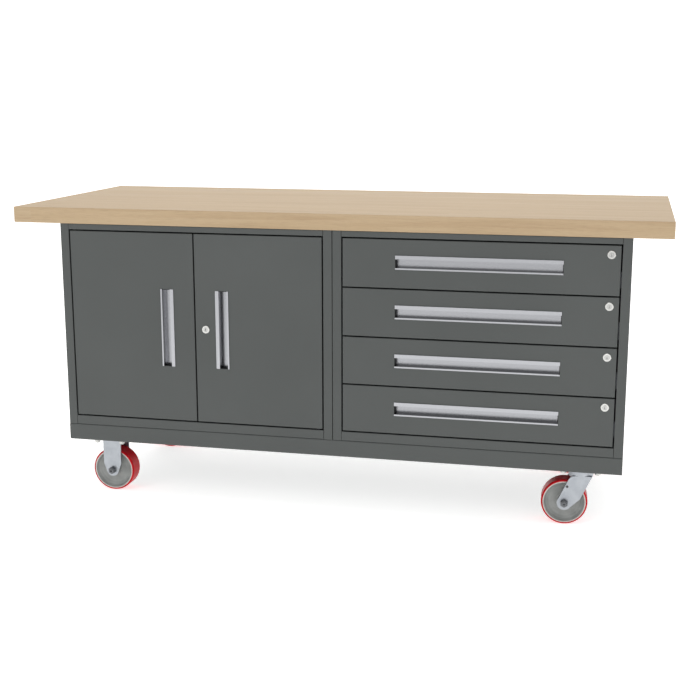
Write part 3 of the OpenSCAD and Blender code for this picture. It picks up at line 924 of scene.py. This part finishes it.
# The slides carry painted shade in nooks within 30 mm.
SLIDE_STEEL = ZincPlate("zinc_plate_slides", "#9ea2a7", "#8b8f95", 0.34, 30 * MM)
HUB_IRON = EnamelledIron("enamelled_cast_iron")
RIM_IRON = TurnedIron("turned_cast_iron")
BLACK_STEEL = ZincPlate("black_oxide_steel", "#2b2b2d", "#202022", 0.45)
NUT_STEEL = ZincPlate("plain_steel_nuts", "#7b7d80", "#606265", 0.42)
TREAD = CastPolyurethane("cast_polyurethane_red")
NYLON = MouldedNylon("moulded_nylon_black")
PAPER = StudioPaper("studio_paper")
WALL_PAPER = StudioPaper("studio_wall_paper", glow=1.0)


def make_object(name: str, mesh: bmesh.types.BMesh, finish: Finish) -> Object:
    """Turns a mesh into an object in the scene.

    Args:
        name: The object's name.
        mesh: Its mesh, in the bench's frame; it is freed here.
        finish: Its finish.

    Returns:
        The new object.
    """
    data = bpy.data.meshes.new(name)
    mesh.to_mesh(data)
    mesh.free()
    data.materials.append(finish.material())
    made = bpy.data.objects.new(name, data)
    bpy.context.scene.collection.objects.link(made)
    return made


@dataclass
class SubAssembly:
    """A group of the bench's parts that are dressed and trimmed together."""

    frame: dict

    def build(self) -> None:
        """Dresses the parts and adds their trim."""
        raise NotImplementedError

    def dress(self, finish: Finish, *nodes: str) -> None:
        """Gives CAD nodes a finish.

        Args:
            finish: The finish.
            *nodes: The nodes' names.
        """
        for name in nodes:
            mesh = self.frame["nodes"][name].data
            mesh.materials.clear()
            mesh.materials.append(finish.material())
            log.info("%s: %s", name, finish.name)

    def add_piece(
        self, name: str, mesh: bmesh.types.BMesh, finish: Finish, body: str, slot: str
    ) -> None:
        """Makes a piece from a mesh and lets it ride on a body.

        Args:
            name: The piece's name.
            mesh: Its mesh, in the bench's frame; it is freed here.
            finish: Its finish.
            body: The body that it moves with.
            slot: The record's material slot; not used.
        """
        bmesh.ops.recalc_face_normals(mesh, faces=mesh.faces)
        piece = make_object(name, mesh, finish)
        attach(piece, body)
        log.info("%s rides on %s", name, body)


@dataclass
class Worktop(SubAssembly):
    """The maple worktop and the screws that hold it."""

    def build(self) -> None:
        """Dresses the worktop and its screws."""
        self.dress(MAPLE, "worktop")
        self.dress(HARDWARE, "worktop_screws")


@dataclass
class Cabinets(SubAssembly):
    """The two cabinets, their shelf, the uprights and the base frame."""

    def build(self) -> None:
        """Dresses the sheet-steel parts and their fasteners."""
        self.dress(
            PAINT,
            "cabinet_sides",
            "cabinet_backs",
            "cabinet_floors",
            "cabinet_top_rails",
            "shelf",
            "drawer_uprights",
            "base_frame",
        )
        self.dress(HARDWARE, "cabinet_bolts", "shelf_clips")
        self.dress(BLACK_STEEL, "door_pivot_pins")
        self.dress(SLIDE_STEEL, "drawer_slide_outers")


@dataclass
class PullEnds:
    """Black end pieces that close a recessed pull's pocket."""

    thickness: float = 1.6 * MM
    gap: float = 0.3 * MM
    lip: float = 4.2 * MM
    side: float = 3 * MM
    wall: float = 2 * MM
    depth: float = 20 * MM
    ease: float = 0.4 * MM

    def mesh(self, node: str, along: Grain, mirrored: bool = False) -> bmesh.types.BMesh:
        """Makes both end pieces of one pull.

        Args:
            node: The pull's node.
            along: The direction that the pull runs in.
            mirrored: True where the grip flange is on the low side.

        Returns:
            Their mesh, in the bench's frame.
        """
        low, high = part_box(node)
        front = low.y + self.wall
        run, across = (0, 2) if along is Grain.ALONG_X else (2, 0)
        beside_grip = self.side + self.wall
        start_across = low[across] + (beside_grip if mirrored else self.lip)
        end_across = high[across] - (self.lip if mirrored else beside_grip)
        made = bmesh.new()
        for start in (low[run], high[run] - self.thickness):
            near, far = Vector(), Vector()
            near[run], far[run] = start, start + self.thickness
            near[across], far[across] = start_across + self.gap, end_across - self.gap
            near.y, far.y = front + self.gap, front + self.depth - self.gap
            block = bmesh.ops.create_cube(made, size=1.0)["verts"]
            bmesh.ops.scale(made, vec=far - near, verts=block)
            bmesh.ops.translate(made, vec=(near + far) / 2, verts=block)
        bmesh.ops.bevel(made, geom=made.edges[:], offset=self.ease, segments=2, affect="EDGES")
        return made


@dataclass
class Doors(SubAssembly):
    """The two doors with their pulls, bolt and lock."""

    ends: PullEnds = field(default_factory=PullEnds)

    def build(self) -> None:
        """Dresses the doors and closes their pulls' ends."""
        self.dress(PAINT, "left_door", "right_door")
        self.dress(PULL_UPRIGHT, "left_door_pull", "right_door_pull")
        self.dress(HARDWARE, "left_door_bolt")
        self.dress(LOCK_METAL, "right_door_lock_housing")
        self.dress(PLUG_METAL, "right_door_lock_plug")
        for door, mirrored in (("left_door", False), ("right_door", True)):
            ends = self.ends.mesh(door + "_pull", Grain.ALONG_Z, mirrored)
            self.add_piece(door + "_pull_ends", ends, NYLON, door, "pull_aluminium")


@dataclass
class Drawers(SubAssembly):
    """The four drawers with their pulls, slides and locks."""

    count: int = 4
    ends: PullEnds = field(default_factory=PullEnds)

    def build(self) -> None:
        """Dresses every drawer and closes its pull's ends."""
        for number in range(1, self.count + 1):
            name = f"drawer_{number}"
            self.dress(PAINT, name + "_front", name + "_box")
            self.dress(PULL_ACROSS, name + "_pull")
            self.dress(SLIDE_STEEL, name + "_slide_middles")
            self.dress(LOCK_METAL, name + "_lock_housing")
            self.dress(PLUG_METAL, name + "_lock_plug")
            ends = self.ends.mesh(name + "_pull", Grain.ALONG_X)
            self.add_piece(name + "_pull_ends", ends, NYLON, name, "pull_aluminium")


@dataclass
class Casters(SubAssembly):
    """Two rigid and two swivel casters."""

    rim_in: float = 56.0 * MM
    rim_out: float = 58.6 * MM
    rim_face: float = 24.85 * MM
    rim_foot: float = 24.3 * MM
    rim_ease: float = 0.35 * MM
    steps: int = 120

    def build(self) -> None:
        """Dresses the forks, plates, bolts and wheels, and adds the wheels' rims."""
        self.dress(ZINC, "rigid_caster_forks", "swivel_caster_plates")
        self.dress(ZINC, "front_swivel_fork", "rear_swivel_fork")
        self.dress(HARDWARE, "caster_bolts")
        self.dress(NUT_STEEL, "rigid_caster_axles", "front_swivel_axle", "rear_swivel_axle")
        for wheel in ("rigid_front", "rigid_rear", "swivel_front", "swivel_rear"):
            self.dress(HUB_IRON, wheel + "_hub")
            self.dress(TREAD, wheel + "_tyre")
            rims = self.rim_mesh(wheel)
            self.add_piece(
                wheel + "_rim_edges", rims, RIM_IRON, wheel + "_wheel", "zinc_hardware"
            )

    def rim_mesh(self, wheel: str) -> bmesh.types.BMesh:
        """Makes a hub's two machined edges, where the tread starts.

        Args:
            wheel: The wheel's name, without its last word.

        Returns:
            Their mesh, in the bench's frame.
        """
        low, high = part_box(wheel + "_tyre")
        middle = (low + high) / 2
        spin = next(j for j in self.frame["joints"] if j["name"] == wheel + "_wheel_spin")
        turn = Vector(spin["axis"]).to_track_quat("Z", "X")
        section = [
            (self.rim_in, self.rim_foot),
            (self.rim_in + self.rim_ease, self.rim_face),
            (self.rim_out - self.rim_ease, self.rim_face),
            (self.rim_out, self.rim_foot),
        ]
        mesh = bmesh.new()
        for side in (-1, 1):
            rings = []
            for step in range(self.steps):
                angle = 2 * math.pi * step / self.steps
                out = Vector((math.cos(angle), math.sin(angle), 0.0))
                points = [middle + turn @ (out * r + Vector((0, 0, side * d))) for r, d in section]
                rings.append([mesh.verts.new(point) for point in points])
            for here, there in zip(rings, rings[1:] + rings[:1]):
                for k in range(len(section)):
                    after = (k + 1) % len(section)
                    mesh.faces.new((here[k], here[after], there[after], there[k])).smooth = True
        return mesh


@dataclass(frozen=True)
class Lamp:
    """One square soft light that looks at the bench."""

    name: str
    place: tuple[float, float, float]
    size: float
    watts: float

    def build(self, target: Vector) -> None:
        """Makes the light.

        Args:
            target: The point that it looks at.
        """
        lamp = bpy.data.lights.new(self.name, "AREA")
        lamp.size = self.size
        lamp.energy = self.watts
        holder = bpy.data.objects.new(self.name, lamp)
        holder.location = self.place
        holder.rotation_euler = (target - Vector(self.place)).to_track_quat("-Z", "Y").to_euler()
        bpy.context.scene.collection.objects.link(holder)


@dataclass
class Studio:
    """A white paper sweep, soft lights and the camera."""

    camera_place: Vector = field(default_factory=lambda: Vector((0.797, -3.581, 1.183)))
    yaw: float = 12.808
    pitch: float = -12.19
    sensor: float = 36.0
    focal: float = 63.02
    floor_half: float = 9.0
    sweep_start: float = 4.0
    sweep_radius: float = 2.5
    sweep_top: float = 5.0
    sweep_steps: int = 16
    wall_radius: float = 14.0
    wall_foot: float = -4.0
    wall_top: float = 12.0
    wall_steps: int = 64
    surround: float = 0.66
    aim: Vector = field(default_factory=lambda: Vector((0, 0, 0.45)))
    lamps: tuple[Lamp, ...] = (
        Lamp("key", (-2.6, -4.2, 3.6), 2.6, 34.0),
        Lamp("fill", (3.4, -4.4, 2.2), 3.0, 18.0),
        Lamp("top", (0.0, 0.2, 4.2), 3.2, 58.0),
    )

    def build(self) -> None:
        """Makes the floor, the wall, the lights and the camera."""
        self.make_floor()
        self.make_wall()
        self.make_lights()
        self.make_camera()

    def make_floor(self) -> None:
        """Makes the paper, flat under the bench and swept up behind it."""
        profile = [(-self.floor_half, 0.0)]
        for step in range(self.sweep_steps + 1):
            angle = math.pi / 2 * step / self.sweep_steps
            profile.append(
                (
                    self.sweep_start + self.sweep_radius * math.sin(angle),
                    self.sweep_radius * (1 - math.cos(angle)),
                )
            )
        profile.append((self.sweep_start + self.sweep_radius, self.sweep_top))
        sides = (-self.floor_half, self.floor_half)
        mesh = bmesh.new()
        rows = [[mesh.verts.new((x, y, z)) for x in sides] for y, z in profile]
        for here, there in zip(rows, rows[1:]):
            mesh.faces.new((here[0], here[1], there[1], there[0])).smooth = True
        make_object("studio_floor", mesh, PAPER)

    def make_wall(self) -> None:
        """Makes a round white wall far out, which is seen but throws no light on the bench."""
        mesh = bmesh.new()
        turns = [2 * math.pi * step / self.wall_steps for step in range(self.wall_steps)]
        spots = [(self.wall_radius * math.cos(a), self.wall_radius * math.sin(a)) for a in turns]
        foot, top = (
            [mesh.verts.new((x, y, z)) for x, y in spots] for z in (self.wall_foot, self.wall_top)
        )
        for here in range(self.wall_steps):
            there = (here + 1) % self.wall_steps
            mesh.faces.new((foot[here], foot[there], top[there], top[here])).smooth = True
        wall = make_object("studio_wall", mesh, WALL_PAPER)
        for ray in ("diffuse", "glossy", "transmission", "shadow", "volume_scatter"):
            setattr(wall, "visible_" + ray, False)

    def make_lights(self) -> None:
        """Makes a bright even surround and the large soft lights."""
        world = bpy.data.worlds.new("studio_world")
        world.use_nodes = True
        surround = world.node_tree.nodes["Background"]
        surround.inputs["Color"].default_value = grey(1.0)
        surround.inputs["Strength"].default_value = self.surround
        bpy.context.scene.world = world
        for lamp in self.lamps:
            lamp.build(self.aim)

    def make_camera(self) -> None:
        """Makes the camera in front of the bench, above its top and right of the middle."""
        lens = bpy.data.cameras.new("camera")
        lens.sensor_width = self.sensor
        lens.lens = self.focal
        camera = bpy.data.objects.new("camera", lens)
        camera.location = self.camera_place
        camera.rotation_euler = Euler((math.radians(90 + self.pitch), 0.0, math.radians(self.yaw)))
        bpy.context.scene.collection.objects.link(camera)
        bpy.context.scene.camera = camera
        bpy.context.scene.view_settings.view_transform = "Standard"


def main() -> None:
    """Builds the studio and the bench's looks in order, and reports each piece."""
    logging.basicConfig(level=logging.INFO, format="%(name)s: %(message)s")
    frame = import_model()
    Studio().build()
    for kind in (Worktop, Cabinets, Doors, Drawers, Casters):
        kind(frame).build()


if __name__ == "__main__":
    main()
